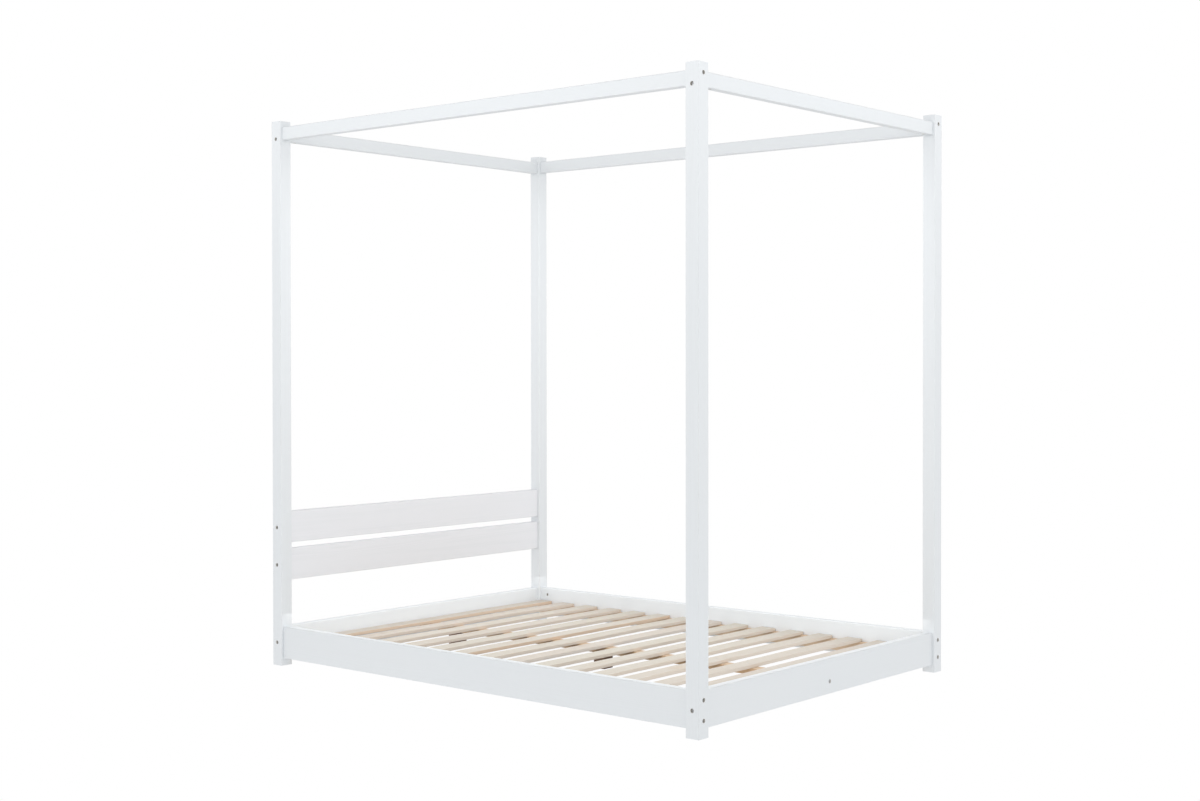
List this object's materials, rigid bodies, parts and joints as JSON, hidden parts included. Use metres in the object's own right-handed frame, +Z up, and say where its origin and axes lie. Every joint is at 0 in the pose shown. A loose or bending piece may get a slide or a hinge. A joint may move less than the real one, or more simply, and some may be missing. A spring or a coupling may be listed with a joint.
{
  "type": "four poster bed frame",
  "caption": "Knock-down four poster bed frame: square posts, open canopy beams, boarded bed rails, two-rail headboard and a slatted deck.",
  "frame": {"origin": "on the floor, under the middle of the bed", "axes": "+Z up, +Y towards the head of the bed, +X to the right seen from the foot"},
  "size_m": [1.455, 1.99, 2.015],
  "materials": {
    "white_paint": "satin white paint over planed pine",
    "pine": "bare planed pine, matte, with knots",
    "bolt_steel": "zinc plated furniture bolts and barrel nuts"
  },
  "bodies": {
    "root": {"post_foot_left": "white_paint", "post_foot_right": "white_paint", "post_head_left": "white_paint", "post_head_right": "white_paint", "top_beam_left": "white_paint", "top_beam_right": "white_paint", "top_beam_foot": "white_paint", "top_beam_head": "white_paint", "side_rail_left": "white_paint", "side_rail_right": "white_paint", "foot_rail": "white_paint", "head_rail": "white_paint", "headboard_rail_lower": "white_paint", "headboard_rail_upper": "white_paint", "centre_support": "pine", "slat_ledger_left": "pine", "slat_ledger_right": "pine", "centre_leg_foot": "pine", "centre_leg_middle": "pine", "centre_leg_head": "pine", "slat_01": "pine", "slat_02": "pine", "slat_03": "pine", "slat_04": "pine", "slat_05": "pine", "slat_06": "pine", "slat_07": "pine", "slat_08": "pine", "slat_09": "pine", "slat_10": "pine", "slat_11": "pine", "slat_12": "pine", "slat_13": "pine", "slat_14": "pine", "slat_15": "pine", "bolt_top_beam_left_foot": "bolt_steel", "bolt_top_beam_left_head": "bolt_steel", "bolt_top_beam_right_foot": "bolt_steel", "bolt_top_beam_right_head": "bolt_steel", "bolt_top_beam_foot_left": "bolt_steel", "bolt_top_beam_foot_right": "bolt_steel", "bolt_top_beam_head_left": "bolt_steel", "bolt_top_beam_head_right": "bolt_steel", "bolt_side_rail_left_foot_lower": "bolt_steel", "bolt_side_rail_left_foot_upper": "bolt_steel", "bolt_side_rail_left_head_lower": "bolt_steel", "bolt_side_rail_left_head_upper": "bolt_steel", "bolt_side_rail_right_foot_lower": "bolt_steel", "bolt_side_rail_right_foot_upper": "bolt_steel", "bolt_side_rail_right_head_lower": "bolt_steel", "bolt_side_rail_right_head_upper": "bolt_steel", "bolt_foot_rail_left": "bolt_steel", "bolt_foot_rail_right": "bolt_steel", "bolt_head_rail_left": "bolt_steel", "bolt_head_rail_right": "bolt_steel", "bolt_headboard_rail_lower_left": "bolt_steel", "bolt_headboard_rail_lower_right": "bolt_steel", "bolt_headboard_rail_upper_left": "bolt_steel", "bolt_headboard_rail_upper_right": "bolt_steel"}
  },
  "joints": []
}
